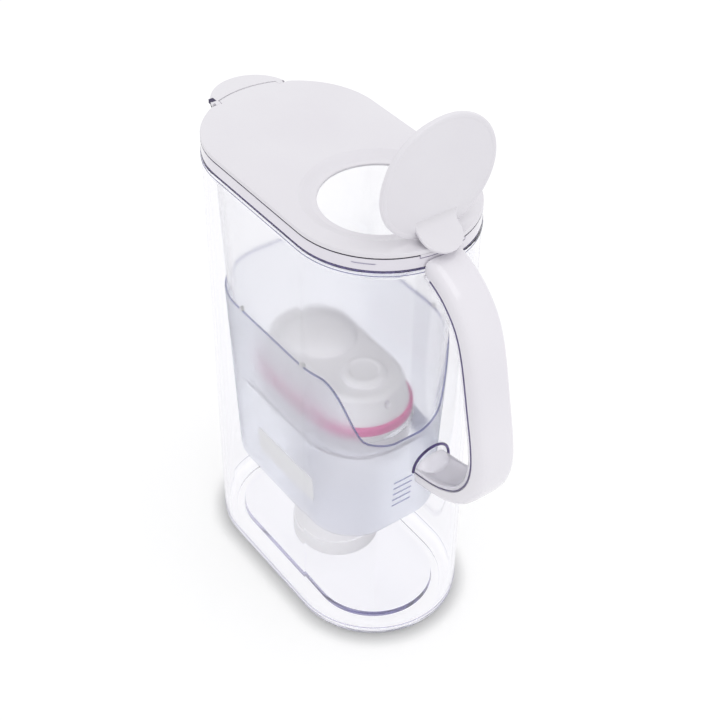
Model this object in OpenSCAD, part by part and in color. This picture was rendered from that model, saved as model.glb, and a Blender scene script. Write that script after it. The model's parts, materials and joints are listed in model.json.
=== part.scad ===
// Slim filter jug with a flip-open fill lid, a pour flap and a lift-out hopper.
// Millimetres, +Z up. The origin is the centre of the jug's footprint on the table.
// +X points to the handle, -X to the spout, and the jug is symmetric in Y.

/* [Jug] */
// Width of the jug across Y
jug_w = 106; // [96:1:116]
// Length of the jug along X, without the spout and the handle
jug_len = 185.4; // [172:1:200]
// Height of the jug up to its rim
jug_h = 283; // [270:1:300]
// Wall thickness of the jug
jug_wall = 2.5; // [2:0.1:3.2]
// Thickness of the floor in the low moat round the raised floor
floor_t = 3.2; // [2.4:0.1:4]
// Height of the raised floor above the moat
plateau_h = 3.4; // [2:0.1:5]
// Width of the moat between the raised floor and the wall
moat_w = 14; // [10:0.5:18]
// Radius of the rounded edge round the foot
foot_r = 6; // [4:0.5:8]
// Height of the bead below the rim
bead_h = 3.2; // [2:0.1:5]
// How far the bead stands out from the wall
bead_out = 0.5; // [0.3:0.1:1]

/* [Spout] */
// Radius of the spout's lip seen from above
spout_r = 25; // [22:0.5:27]
// How far the lip stands out from the end of the jug
spout_out = 14.6; // [11:0.2:16]
// Height over which the spout runs down into the wall
spout_drop = 38; // [28:1:48]
// Wall thickness of the spout
spout_wall = 2.2; // [1.8:0.1:2.8]

/* [Handle] */
// Width of the handle across Y
handle_w = 24; // [20:0.5:28]
// Thickness of the handle across its bar
handle_t = 12; // [11:0.5:14]
// How far the handle reaches out from the jug
handle_reach = 54; // [48:1:62]
// Height of the handle's lowest point at the jug wall
handle_low = 131; // [120:1:140]
// Thickness of the white grip's skin
grip_skin = 2.8; // [2:0.1:3.5]
// Depth of the grip's side flanges
grip_side = 9; // [7:0.5:10]
// Clearance between the grip and the clear bar inside it
grip_clear = 0.2; // [0.1:0.05:0.4]

/* [Hopper] */
// Height of the clear collar that stands on the jug's rim
collar_h = 8.5; // [6:0.5:11]
// Wall thickness of the hopper
hopper_wall = 2; // [1.6:0.1:2.6]
// Gap between the hopper and each end of the jug, low down
hopper_end_gap = 28.7; // [25:0.5:34]
// Gap between the hopper and each side of the jug, low down
hopper_side_gap = 11; // [9.5:0.5:14]
// Half width of the flat at each end of the hopper, low down
hopper_flat = 12; // [8:1:16]
// Level of the hopper's floor, on which the cartridge sits
hopper_floor_z = 137; // [128:1:146]
// Depth of the oval skirt round the cartridge hole
well_depth = 13; // [8:1:20]
// Clearance between the cartridge and the oval skirt
well_clear = 0.3; // [0.2:0.05:0.6]

/* [Jacket] */
// Level of the underside of the jacket
jacket_low_z = 68; // [62:1:76]
// Level of the jacket's straight rim
jacket_rim_z = 196; // [180:1:206]
// Level of the lowest point of the scoop at the handle end
scoop_low_z = 146; // [142:1:156]
// Half width of the level middle of the scoop
scoop_flat = 24; // [16:1:28]
// Wall thickness of the jacket
jacket_wall = 1.4; // [1.2:0.1:2]
// Clearance between the jacket and the hopper
jacket_clear = 0.3; // [0.2:0.05:0.5]
// Clearance between the cartridge's foot and the hole in the jacket's floor
jacket_hole_clear = 0.8; // [0.5:0.1:3]
// How far the jacket's lower edge is rounded
jacket_edge = 5; // [3:0.5:7]
// Width of each vent slot in the jacket
slot_w = 13.5; // [10:0.5:16]
// Height of each vent slot
slot_h = 1.2; // [0.8:0.1:2]
// Spacing of the vent slots
slot_step = 5; // [4:0.5:6]
// Length of the blank label plate
label_len = 57; // [40:1:64]
// Height of the blank label plate
label_h = 19; // [12:1:24]

/* [Lid] */
// Thickness of the lid plate
lid_t = 3; // [2.8:0.1:4]
// Depth of the lid's skirt inside the collar
skirt_h = 5; // [3:0.5:7]
// Thickness of the lid's skirt
skirt_t = 1.6; // [1.2:0.1:2.2]
// Clearance between the skirt and the collar
skirt_clear = 0.5; // [0.3:0.1:0.8]
// Distance of the fill hole's centre from the handle end of the lid
hole_in = 54.7; // [53:0.5:60]
// Radius of the fill hole
hole_r = 33; // [29:0.5:34]
// Width of the ledge that the flip lid closes on
ledge_w = 3.2; // [2.4:0.1:4]
// Thickness of that ledge
ledge_t = 1.8; // [1.4:0.1:2.4]
// Width of the sloping rim round the ledge
dish_w = 6; // [4:0.5:7]

/* [Flip lid] */
// Angle by which the open flip lid has swung from its closed place
open_angle = 94; // [90:1:100]
// Thickness of the flip lid's disc
disc_t = 2.8; // [2.2:0.1:3]
// Clearance round the disc in its seat
disc_clear = 0.8; // [0.5:0.1:1.2]
// Depth of the plug ring under the disc
plug_h = 3; // [2:0.5:4]
// Wall thickness of the plug ring
plug_wall = 1.8; // [1.4:0.1:2.4]
// Clearance between the plug ring and the fill hole
plug_clear = 0.8; // [0.6:0.1:1.2]
// Distance of the hinge pin from the edge of the disc
hinge_out = 5; // [4.5:0.5:7]
// Depth of the hinge pin below the top of the lid
hinge_drop = 5; // [4.6:0.1:6.5]
// Radius of the hinge pin
pin_r = 1.5; // [1.2:0.1:1.8]
// Running clearance between a pin and its bore
pin_clear = 0.06; // [0.04:0.01:0.09]
// Width of the hinge arm between the ears
arm_w = 16; // [12:1:20]
// Width of each hinge ear
ear_w = 4; // [3:0.5:5]
// Width of the thumb tab
tab_w = 25; // [20:1:28]
// Length of the thumb tab
tab_len = 18; // [14:0.5:20]
// Thickness of the thumb tab
tab_t = 2.2; // [1.8:0.1:2.8]
// Angle of the thumb tab to the disc
tab_angle = 63; // [52:1:70]
// Distance of the thumb tab's root from the edge of the disc
tab_in = 9; // [6:0.5:10]
// Depth to which the thumb tab is sunk in the disc
tab_root = 0.5; // [0.3:0.1:1]

/* [Pour flap] */
// Thickness of the pour flap
flap_t = 2.6; // [2:0.1:2.7]
// Gap between the flap and the lid's edge
flap_gap = 0.6; // [0.5:0.1:1]
// Distance of the flap's hinge line from the end of the lid
flap_hinge_in = 5.7; // [5:0.1:6.5]
// Width of each hinge lug on the flap
lug_w = 3; // [2.4:0.1:3.6]
// Radius of the flap's hinge pins
flap_pin_r = 0.9; // [0.7:0.05:1]

/* [Cartridge] */
// Radius of the cartridge's oval ends, over the seal
seal_r = 31; // [29:0.5:32]
// Distance of the oval's end centres from its middle
seal_half = 24; // [20:0.5:27]
// Height of the pink seal
seal_h = 6.2; // [4:0.2:8]
// Radial thickness of the pink seal
seal_t = 2.2; // [1.8:0.1:3]
// Thickness of the flange under the seal
flange_t = 1.7; // [1.2:0.1:2.4]
// Radius of the round lower body
body_r = 26; // [22:0.5:26.4]
// Level of the underside of the cartridge
body_low_z = 11.5; // [9:0.5:18]
// Wall thickness of the cartridge
body_wall = 1.5; // [1.2:0.1:2]
// Height of the cap's sloping sides
cap_h = 18; // [14:1:22]
// How far the cap draws in over its height
cap_draft = 4; // [2:0.5:6]
// Radius of the front button on the cap
button_r = 13.5; // [10:0.5:15]
// Radius of the rear dome on the cap
dome_r = 21; // [16:0.5:22]
// Height of the rear dome
dome_h = 9; // [5:0.5:11]
// Height of the foot ring that closes the cartridge
foot_ring_h = 12; // [8:1:16]
// Clearance between parts inside the cartridge
bed_clear = 0.2; // [0.1:0.05:0.4]
// Thickness of each screen
screen_t = 1.5; // [1:0.1:2]
// Height of the resin bed
resin_h = 42; // [34:1:48]

/* [Hidden] */
$fn = 64;
hull_fn = 32;
tiny = 0.01;
big = 400;

// Plan of the jug: a straight middle with round ends
end_r = jug_w / 2;
straight = jug_len / 2 - end_r;
jug_in_r = end_r - jug_wall;
plateau_r = jug_in_r - moat_w;

// Levels of the stack on the rim
collar_top_z = jug_h + collar_h;
lid_top_z = collar_top_z + lid_t;
deck_t = 2.2;

// Spout
spout_x = -(jug_len / 2 + spout_out - spout_r);
spout_band = 3;
pour_half = 21.5;
guard_half = pour_half + 8;
guard_x = spout_x + 10;

// Flip lid, in its closed place
hole_x = jug_len / 2 - hole_in;
ledge_z = lid_top_z - lid_t;
ledge_rim = 1.6;
seat_r = hole_r + ledge_w;
disc_r = seat_r - disc_clear;
disc_z = ledge_z + 0.2;
plug_r = hole_r - plug_clear;
hinge_x = hole_x + disc_r + hinge_out;
hinge_z = lid_top_z - hinge_drop;
knuckle_wall = 1.7;
knuckle_r = pin_r + knuckle_wall;
arm_in = 3;
arm_clear = 0.5;
ear_in = arm_w / 2 + arm_clear;
ear_z = hinge_z - knuckle_r;
step_half = 14;
step_x = straight + end_r - 10;
step_h = 1.5;
step_clear = 0.3;

// Pour flap
flap_hinge_x = -(jug_len / 2 - flap_hinge_in);
flap_top_z = lid_top_z - 0.1;
flap_z = flap_top_z - flap_t;
flap_hinge_z = flap_top_z - flap_t / 2;
lug_r = flap_t / 2;
lug_out = 22.5;
lug_clear = 0.3;
flap_pin_len = 4;

// Hopper plan, widening upward in proportion to the height
len_slope = 0.0745;
width_slope = 0.0365;
corner_slope = 0.08;
foot_level = 75;
hopper_half_len = jug_len / 2 - hopper_end_gap;
hopper_half_w = jug_w / 2 - hopper_side_gap;
hopper_corner = hopper_half_w - hopper_flat;
function half_len(z) = hopper_half_len + (z - foot_level) * len_slope;
function half_w(z) = hopper_half_w + (z - foot_level) * width_slope;
function corner(z) = hopper_corner + (z - foot_level) * corner_slope;
hopper_plate = 2.5;
hopper_inset = 1;
scoop_half = half_w(jacket_rim_z) - 0.5;
scoop_steps = 14;
lid_gap = 1;
skirt_end_x = 8 - half_len(jug_h);
skirt_end_half = pour_half + 12;
jacket_floor = 2;
slot_n = 5;
slot_rise = 21;
slot_low_z = jacket_low_z + slot_rise;
peg_x = [-27, 34];
peg_r = 1.6;
label_x = 10;
label_rise = 33;
label_z = jacket_low_z + label_rise;
label_t = 0.5;

// Cartridge levels
flange_z = hopper_floor_z;
seal_z = flange_z + flange_t;
cap_z = seal_z + seal_h;
oval_r = seal_r - seal_t;
well_r = oval_r + well_clear;
oval_drop = 26;
oval_low_z = flange_z - oval_drop;
foot_ring_z = body_low_z;
foot_ring_r = body_r + 1.2;
ring_floor = 2;
outlet_z = body_low_z + 4;
resin_z = outlet_z + screen_t + bed_clear;
divider_z = resin_z + resin_h + bed_clear;
carbon_z = divider_z + screen_t + bed_clear;
carbon_top_z = oval_low_z - bed_clear;
inlet_z = cap_z - screen_t - bed_clear;
bed_r = body_r - body_wall - bed_clear;

// Handle bar: shares of the reach and of the height that its outer face passes, jug side first
bar_sunk = 6;
bar_shares = [
    [0.056, 0.994], [0.259, 0.962], [0.444, 0.915], [0.620, 0.842], [0.750, 0.734], [0.880, 0.551],
    [0.978, 0.399], [1, 0.291], [0.926, 0.190], [0.741, 0.101], [0.463, 0.041], [0.185, 0.011]
];
bar_x0 = jug_len / 2 - bar_sunk;
handle_top = jug_h + bar_sunk;
handle_span = handle_top - handle_low;
bar_points = concat(
    [[bar_x0, handle_top + 1.5]],
    [for (p = bar_shares) [jug_len / 2 + p[0] * handle_reach, handle_low + p[1] * handle_span]],
    [[bar_x0, handle_low - 1]]
);
bar_steps = 4;

function spline(p, i, t) =
    let (a = p[max(i - 1, 0)], b = p[i], c = p[i + 1], d = p[min(i + 2, len(p) - 1)])
    0.5 * (2 * b + (c - a) * t + (2 * a - 5 * b + 4 * c - d) * t * t + (3 * b - a - 3 * c + d) * t * t * t);
function trace(p) = concat(
    [for (i = [0 : len(p) - 2]) for (k = [0 : bar_steps - 1]) spline(p, i, k / bar_steps)],
    [p[len(p) - 1]]);
bar_line = trace(bar_points);
function along(p, i) = p[min(i + 1, len(p) - 1)] - p[max(i - 1, 0)];
function inward(p, i) = let (d = along(p, i)) [d[1], -d[0]] / norm(d);
function shifted(p, depth) = [for (i = [0 : len(p) - 1]) p[i] + inward(p, i) * depth];
function reversed(p) = [for (i = [len(p) - 1 : -1 : 0]) p[i]];

// Solid with a straight middle along X and turned ends; the children are its half section
module oval_turn(half) {
    for (side = [-1, 1])
        translate([side * half, 0, 0])
            rotate_extrude() children();
    rotate([90, 0, 90])
        linear_extrude(2 * half, center = true) {
            children();
            mirror([1, 0]) children();
        }
}

// Straight-sided oval block between two levels
module oval(half, r, z0, z1) {
    oval_turn(half) translate([0, z0]) square([r, z1 - z0]);
}

// Half section of a tub with a rounded foot
module tub_section(r, z0, z1, fillet) {
    translate([0, z0]) square([r - fillet, z1 - z0]);
    translate([0, z0 + fillet]) square([r, z1 - z0 - fillet]);
    intersection() {
        translate([r - fillet, z0 + fillet]) circle(fillet);
        translate([0, z0]) square([r, fillet * 2]);
    }
}

// Rod along Y between two places
module rod_y(r, x, z, y0, y1) {
    translate([x, y0, z]) rotate([-90, 0, 0]) cylinder(r = r, h = y1 - y0);
}

// Box by its corners
module block(x0, x1, y0, y1, z0, z1) {
    translate([x0, y0, z0]) cube([x1 - x0, y1 - y0, z1 - z0]);
}

// Flat outline in the XZ plane, given thickness across Y
module plate_y(half) {
    rotate([90, 0, 0]) linear_extrude(2 * half, center = true) children();
}

// Spout body, drawn in by a margin
module spout_body(margin, z_top) {
    hull() {
        translate([spout_x, 0, jug_h - spout_band])
            cylinder(r = spout_r - margin, h = z_top - jug_h + spout_band, $fn = hull_fn);
        translate([spout_x + spout_out, 0, jug_h - spout_drop])
            cylinder(r = spout_r / 2 - margin, h = tiny, $fn = hull_fn);
    }
}

module jug() {
    color([0.93, 0.93, 0.98, 0.35])
    union() {
        difference() {
            union() {
                oval_turn(straight) tub_section(end_r, 0, jug_h, foot_r);
                oval(straight, end_r + bead_out, jug_h - bead_h, jug_h);
                difference() {
                    spout_body(0, collar_top_z);
                    oval(straight, end_r + jug_wall / 4, jug_h, big);
                }
            }
            oval_turn(straight) tub_section(jug_in_r, floor_t, big, foot_r - jug_wall / 2);
            spout_body(spout_wall, collar_top_z + 1);
        }
        oval(straight, plateau_r, floor_t - 1, floor_t + plateau_h);
    }
}

// Length of the handle bar between two depths below its outer face
module bar(depth0, depth1, half) {
    difference() {
        plate_y(half)
            polygon(concat(shifted(bar_line, depth0), reversed(shifted(bar_line, depth1))));
        oval(straight, end_r, -1, big);
    }
}

module handle_frame() {
    core_half = handle_w / 2 - grip_skin;
    saddle_z = handle_low + 10;
    saddle_r = handle_w / 2 - grip_clear;
    color([0.90, 0.90, 0.97, 0.4])
    difference() {
        union() {
            bar(grip_skin + grip_clear, handle_t, core_half);
            bar(grip_side + grip_clear, handle_t, handle_w / 2 - grip_clear);
            difference() {
                intersection() {
                    plate_y(handle_w)
                        polygon([
                            [bar_x0, saddle_z],
                            [bar_x0, saddle_z + saddle_r],
                            [jug_len / 2 + 2, saddle_z + saddle_r - 2],
                            [jug_len / 2 + 7, saddle_z + saddle_r - 8],
                            [jug_len / 2 + 15, saddle_z + 1]
                        ]);
                    translate([0, 0, saddle_z])
                        rotate([0, 90, 0]) cylinder(r = saddle_r, h = big);
                }
                oval(straight, end_r, -1, big);
                bar(0, grip_side + grip_clear, handle_w);
            }
        }
        oval(straight, end_r + bead_out, jug_h - bead_h, jug_h);
        oval(straight, end_r + 2 * bead_out, jug_h, big);
    }
}

module handle_grip() {
    color([0.95, 0.94, 0.96])
    difference() {
        bar(0, grip_side, handle_w / 2);
        bar(grip_skin, handle_t, handle_w / 2 - grip_skin + grip_clear);
        oval(straight, end_r + 2 * bead_out, -1, big);
    }
}

// One level of the hopper's plan, grown or drawn in by a margin
module hopper_slice(z, margin) {
    r = corner(z);
    for (sx = [-1, 1], sy = [-1, 1])
        translate([sx * (half_len(z) - r), sy * (half_w(z) - r), z])
            cylinder(r = r + margin, h = tiny, $fn = hull_fn);
}

// Tapered block of the hopper's plan between two levels
module hopper_loft(z0, z1, margin) {
    hull() {
        hopper_slice(z0, margin);
        hopper_slice(z1, margin);
    }
}

module hopper() {
    plate_z = hopper_floor_z - hopper_plate;
    color([0.93, 0.94, 0.99, 0.35])
    difference() {
        union() {
            oval(straight, end_r, jug_h, collar_top_z);
            hopper_loft(plate_z, jug_h + deck_t, -hopper_inset);
            oval(seal_half, well_r + hopper_wall, hopper_floor_z - well_depth, hopper_floor_z);
        }
        difference() {
            oval(straight, jug_in_r, jug_h + deck_t, big);
            intersection() {
                difference() {
                    hopper_loft(jug_h, collar_top_z, -hopper_inset);
                    hopper_loft(jug_h, collar_top_z, -hopper_inset - hopper_wall);
                }
                block(-big, guard_x, -guard_half, guard_half, jug_h, collar_top_z - lid_gap);
            }
        }
        hopper_loft(hopper_floor_z, collar_top_z, -hopper_inset - hopper_wall);
        difference() {
            block(-big, -half_len(jug_h) - lid_gap, -pour_half, pour_half, jug_h - 1, big);
            hopper_loft(jug_h - 2, collar_top_z, -hopper_inset);
        }
        oval(seal_half, well_r, plate_z - well_depth, big);
        block(0, big, -step_half - step_clear, step_half + step_clear, collar_top_z - step_h - step_clear, big);
    }
}

// Tapered block with its lower edge drawn in all round
module jacket_block(z0, z1, margin, edge) {
    hull() {
        hopper_slice(z0, margin - edge);
        hopper_slice(z0 + edge * 0.3, margin - edge * 0.3);
        hopper_slice(z0 + edge, margin);
        hopper_slice(z1, margin);
    }
}

module jacket() {
    outer = jacket_wall + jacket_clear - hopper_inset;
    inner = jacket_clear - hopper_inset;
    color([0.86, 0.88, 0.95, 0.6])
    difference() {
        jacket_block(jacket_low_z, jacket_rim_z + 4, outer, jacket_edge);
        jacket_block(jacket_low_z + jacket_floor, jacket_rim_z + 9, inner, jacket_edge);
        translate([0, 0, jacket_low_z - 1]) cylinder(r = foot_ring_r + jacket_hole_clear, h = jacket_floor + 2);
        above_jacket_rim();
        for (k = [0 : slot_n - 1])
            translate([0, -slot_w / 2, slot_low_z + k * slot_step])
                cube([big, slot_w, slot_h]);
    }
}

// Level of the jacket's rim over the handle end, at a distance from the middle
function scoop_z(y) =
    let (t = max(0, min(1, (abs(y) - scoop_flat) / (scoop_half - scoop_flat))))
    scoop_low_z + (jacket_rim_z - scoop_low_z) * t * t * (3 - 2 * t);

// What is cut away above the jacket's rim
module above_jacket_rim() {
    block(-big, big, -big, big, jacket_rim_z, big);
    rotate([90, 0, 90])
        linear_extrude(big)
            polygon([
                for (k = [-scoop_steps : scoop_steps])
                    let (y = scoop_half * k / scoop_steps) [y, scoop_z(y)],
                [scoop_half, big],
                [-scoop_half, big]
            ]);
}

module jacket_pegs() {
    color([0.97, 0.97, 0.98])
    for (x = peg_x, side = [0, 1])
        mirror([0, side, 0])
            rod_y(peg_r, x, jacket_rim_z + peg_r, half_w(jacket_rim_z) - hopper_inset + 0.25,
                  half_w(jacket_rim_z) + 1.4);
}

module jacket_label() {
    face_y = half_w(label_z) + jacket_wall + jacket_clear - hopper_inset;
    color([0.97, 0.97, 0.98])
    for (side = [0, 1])
        mirror([0, side, 0])
            translate([label_x, -face_y - tiny, label_z])
                rotate([90 + atan(width_slope), 0, 0])
                    linear_extrude(label_t)
                        square([label_len, label_h], center = true);
}

module lid() {
    color([0.94, 0.93, 0.96])
    difference() {
        union() {
            oval(straight, end_r, collar_top_z, lid_top_z);
            difference() {
                oval(straight, jug_in_r - skirt_clear, collar_top_z - skirt_h, lid_top_z);
                oval(straight, jug_in_r - skirt_clear - skirt_t, 0, collar_top_z);
                block(-big, skirt_end_x, -skirt_end_half, skirt_end_half, 0, collar_top_z);
            }
            translate([hole_x, 0, ledge_z - ledge_t]) cylinder(r = seat_r + ledge_rim, h = ledge_t + 1);
            for (side = [-1, 1])
                translate([0, side * (ear_in + ear_w / 2), 0])
                    block(hinge_x - knuckle_r, hinge_x + knuckle_r, -ear_w / 2, ear_w / 2, ear_z, lid_top_z - 1);
            intersection() {
                oval(straight, end_r, collar_top_z - step_h, lid_top_z);
                block(step_x, big, -step_half, step_half, 0, big);
            }
        }
        translate([hole_x, 0, 0]) cylinder(r = hole_r, h = big);
        translate([hole_x, 0, ledge_z]) cylinder(r = seat_r, h = big);
        translate([hole_x, 0, ledge_z]) cylinder(r1 = seat_r, r2 = seat_r + dish_w, h = lid_t + tiny);
        block(hole_x + disc_r - arm_in, hinge_x + knuckle_r + ear_w, -ear_in, ear_in, ear_z - 1, big);
        rod_y(pin_r + pin_clear / 3, hinge_x, hinge_z, -ear_in - ear_w - 1, ear_in + ear_w + 1);
        for (side = [0, 1])
            mirror([0, side, 0]) {
                block(-big, flap_hinge_x + lug_r + lug_clear, lug_out - lug_w - lug_clear, big,
                      collar_top_z - tiny, big);
                rod_y(flap_pin_r + pin_clear, flap_hinge_x, flap_hinge_z,
                      lug_out - lug_w - flap_pin_len - 1, lug_out);
            }
    }
}

module flip_hinge_pin() {
    color([0.86, 0.86, 0.88])
    rod_y(pin_r, hinge_x, hinge_z, -ear_in - ear_w, ear_in + ear_w);
}

// Turns what is drawn in the closed place to the open one
module swung_open() {
    translate([hinge_x, 0, hinge_z])
        rotate([0, open_angle, 0])
            translate([-hinge_x, 0, -hinge_z])
                children();
}

module thumb_tab() {
    root_x = hole_x + disc_r - tab_in;
    translate([root_x, 0, disc_z + disc_t - tab_root])
        rotate([0, 90 - tab_angle, 0])
            rotate([0, -90, 0])
                translate([0, 0, -tab_t])
                    linear_extrude(tab_t) {
                        translate([0, -tab_w / 2]) square([tab_len - tab_w / 2, tab_w]);
                        intersection() {
                            translate([tab_len - tab_w / 2, 0]) circle(tab_w / 2);
                            translate([0, -tab_w / 2]) square([tab_len, tab_w]);
                        }
                    }
}

module flip_lid() {
    color([0.95, 0.94, 0.96])
    difference() {
        swung_open()
            union() {
                translate([hole_x, 0, disc_z]) cylinder(r = disc_r, h = disc_t);
                plate_y(arm_w / 2)
                    polygon([
                        [hole_x + disc_r - arm_in, disc_z],
                        [hole_x + disc_r - arm_in, disc_z + disc_t],
                        [hole_x + disc_r + arm_in / 2, disc_z + disc_t],
                        [hinge_x + knuckle_r * 0.7, hinge_z + knuckle_r * 0.7],
                        [hinge_x, hinge_z],
                        [hinge_x - knuckle_r, hinge_z]
                    ]);
                rod_y(knuckle_r, hinge_x, hinge_z, -arm_w / 2, arm_w / 2);
                thumb_tab();
            }
        rod_y(pin_r + pin_clear, hinge_x, hinge_z, -arm_w, arm_w);
    }
}

module flip_liner() {
    color([0.93, 0.92, 0.95])
    swung_open()
        translate([hole_x, 0, disc_z - plug_h])
            difference() {
                cylinder(r = plug_r, h = plug_h);
                translate([0, 0, -1]) cylinder(r = plug_r - plug_wall, h = plug_h + 1 - 0.8);
            }
}

module spout_flap() {
    lug_x0 = -(straight + sqrt(pow(end_r + flap_gap, 2) - pow(lug_out, 2)));
    color([0.94, 0.93, 0.96])
    union() {
        difference() {
            translate([spout_x, 0, flap_z]) cylinder(r = spout_r, h = flap_t);
            oval(straight, end_r + flap_gap, 0, big);
            block(spout_x, big, -big, big, 0, big);
        }
        for (side = [0, 1])
            mirror([0, side, 0]) {
                block(lug_x0 - 3, flap_hinge_x, lug_out - lug_w, lug_out, flap_z, flap_top_z);
                rod_y(lug_r, flap_hinge_x, flap_hinge_z, lug_out - lug_w, lug_out);
                rod_y(flap_pin_r, flap_hinge_x, flap_hinge_z, lug_out - lug_w - flap_pin_len, lug_out);
            }
    }
}

module cartridge_body() {
    color([0.93, 0.92, 0.96])
    difference() {
        union() {
            oval(seal_half, oval_r, oval_low_z, cap_z);
            oval(seal_half, seal_r - 0.4, flange_z, seal_z);
            translate([0, 0, foot_ring_z + ring_floor]) cylinder(r = body_r, h = oval_low_z - foot_ring_z);
        }
        oval(seal_half, oval_r - body_wall, oval_low_z + body_wall, big);
        translate([0, 0, -1]) cylinder(r = body_r - body_wall, h = big);
    }
}

module cartridge_seal() {
    color([0.85, 0.45, 0.66])
    difference() {
        oval(seal_half, seal_r, seal_z, cap_z);
        oval(seal_half, oval_r, 0, big);
    }
}

module cartridge_cap() {
    top_z = cap_z + cap_h;
    cap_edge = 4;
    cap_roof = 6;
    button_x = seal_half + 3;
    button_h = 4;
    dome_x = 8 - seal_half;
    dome_ball_r = (dome_r * dome_r + dome_h * dome_h) / (2 * dome_h);
    vent_step = 7;
    vent_r = 1.5;
    color([0.93, 0.92, 0.94])
    difference() {
        union() {
            oval_turn(seal_half) polygon([
                [0, cap_z],
                [oval_r, cap_z],
                [oval_r - cap_draft, top_z - cap_edge],
                [oval_r - cap_draft - cap_edge, top_z],
                [0, top_z]
            ]);
            translate([button_x, 0, top_z - 1]) cylinder(r1 = button_r, r2 = button_r - button_h / 2, h = button_h + 1);
            translate([dome_x, 0, top_z - 1])
                rotate_extrude()
                    intersection() {
                        translate([0, dome_h - dome_ball_r]) circle(dome_ball_r);
                        square([dome_r, dome_h]);
                    }
        }
        oval_turn(seal_half) polygon([
            [0, cap_z - 1],
            [oval_r - body_wall, cap_z - 1],
            [oval_r - body_wall - cap_draft, top_z - cap_roof],
            [0, top_z - cap_roof]
        ]);
        for (k = [-2 : 2])
            translate([k * vent_step, 0, top_z - cap_roof - 2 * vent_r])
                rotate([90, 0, 0]) cylinder(r = vent_r, h = big, center = true);
    }
}

module inlet_screen() {
    color([0.90, 0.90, 0.92])
    oval(seal_half, oval_r - body_wall - bed_clear, inlet_z, inlet_z + screen_t);
}

module carbon_bed() {
    color([0.2, 0.2, 0.22])
    translate([0, 0, carbon_z]) cylinder(r = bed_r, h = carbon_top_z - carbon_z);
}

module bed_divider() {
    color([0.90, 0.90, 0.92])
    translate([0, 0, divider_z]) cylinder(r = bed_r, h = screen_t);
}

module resin_bed() {
    color([0.85, 0.75, 0.5])
    translate([0, 0, resin_z]) cylinder(r = bed_r, h = resin_h);
}

module outlet_screen() {
    color([0.90, 0.90, 0.92])
    translate([0, 0, outlet_z]) cylinder(r = bed_r, h = screen_t);
}

module cartridge_foot() {
    hole_n = 8;
    foot_hole_r = 4;
    color([0.92, 0.91, 0.95])
    difference() {
        translate([0, 0, foot_ring_z]) cylinder(r = foot_ring_r, h = foot_ring_h);
        translate([0, 0, foot_ring_z + ring_floor]) cylinder(r = body_r, h = big);
        for (k = [0 : hole_n - 1])
            rotate([0, 0, k * 360 / hole_n]) translate([body_r * 0.6, 0, 0]) cylinder(r = foot_hole_r, h = big);
    }
}

jug();
handle_frame();
handle_grip();
hopper();
jacket();
jacket_pegs();
jacket_label();
lid();
flip_hinge_pin();
flip_lid();
flip_liner();
spout_flap();
cartridge_body();
cartridge_cap();
cartridge_seal();
inlet_screen();
carbon_bed();
bed_divider();
resin_bed();
outlet_screen();
cartridge_foot();
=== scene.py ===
# Looks of a slim filter jug with a flip-open fill lid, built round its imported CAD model.
# Shapes are written in millimetres in the row frame, and turned into metres when a piece is made.
import json
import math

import bmesh
import bpy
from mathutils import Matrix, Vector

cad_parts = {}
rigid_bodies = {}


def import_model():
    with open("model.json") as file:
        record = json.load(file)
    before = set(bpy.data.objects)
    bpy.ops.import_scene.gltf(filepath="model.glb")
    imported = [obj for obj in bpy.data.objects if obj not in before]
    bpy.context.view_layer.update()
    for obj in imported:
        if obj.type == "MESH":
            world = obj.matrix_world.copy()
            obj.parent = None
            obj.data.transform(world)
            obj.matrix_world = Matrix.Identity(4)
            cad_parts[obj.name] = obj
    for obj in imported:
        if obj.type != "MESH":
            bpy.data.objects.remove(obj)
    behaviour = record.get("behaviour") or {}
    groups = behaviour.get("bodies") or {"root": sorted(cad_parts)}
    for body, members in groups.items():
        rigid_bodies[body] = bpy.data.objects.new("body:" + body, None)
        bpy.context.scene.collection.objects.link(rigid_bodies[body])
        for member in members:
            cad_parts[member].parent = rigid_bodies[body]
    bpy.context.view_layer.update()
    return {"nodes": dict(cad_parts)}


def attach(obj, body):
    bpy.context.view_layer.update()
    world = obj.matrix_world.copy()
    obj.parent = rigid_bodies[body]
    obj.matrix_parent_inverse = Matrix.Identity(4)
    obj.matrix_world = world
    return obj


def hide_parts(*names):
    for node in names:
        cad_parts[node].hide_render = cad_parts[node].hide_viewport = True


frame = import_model()

MM = 0.001
ARC = 20

# Jug: half the straight run of its oval plan, radius of the ends, level of the rim, all in mm
STRAIGHT = 39.7
END_R = 53.0
JUG_H = 283.0
# Tops of the hopper's collar and of the lid
COLLAR_TOP = 291.5
LID_TOP = 294.5
# Well for the cartridge: radius of its ends, and half its straight run
WELL_R = 29.1
SEAL_HALF = 24.0
# Fill hole, its seat, and the disc of the flip lid that closes it
HOLE_X = 38.0
HOLE_R = 33.0
SEAT_R = 36.2
DISC_R = 35.4
DISC_Z = 291.7
DISC_T = 2.8
# Hinge of the flip lid in the XZ plane, and how far the lid stands open at rest
HINGE = (78.4, 289.5)
OPEN_ANGLE = 94.0
# Spout, and the hinge of the pour flap over it
SPOUT_X = -82.3
SPOUT_R = 25.0
SPOUT_STEPS = 12
FLAP_HINGE = (-87.0, 293.1)
FLAP_RISE = 1.4
# Jacket: half its wall, its low end, its rim, and the scoop in the rim towards the handle
JACKET_HALF = 0.7
JACKET_LOW = 68.0
JACKET_RIM = 196.0
SCOOP_LOW = 143.2
SCOOP_FLAT = 26.0
SCOOP_HALF = 44.0
SCOOP_DISH = 0.0105
VENT_COUNT = 5
VENT_HALF = 6.75
# The hopper widens upwards from this level by these shares
TAPER_Z = 75
LENGTH_SLOPE = 0.0745
WIDTH_SLOPE = 0.0365
CORNER_SLOPE = 0.08


def half_len(z):
    return 64 + (z - TAPER_Z) * LENGTH_SLOPE


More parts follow.
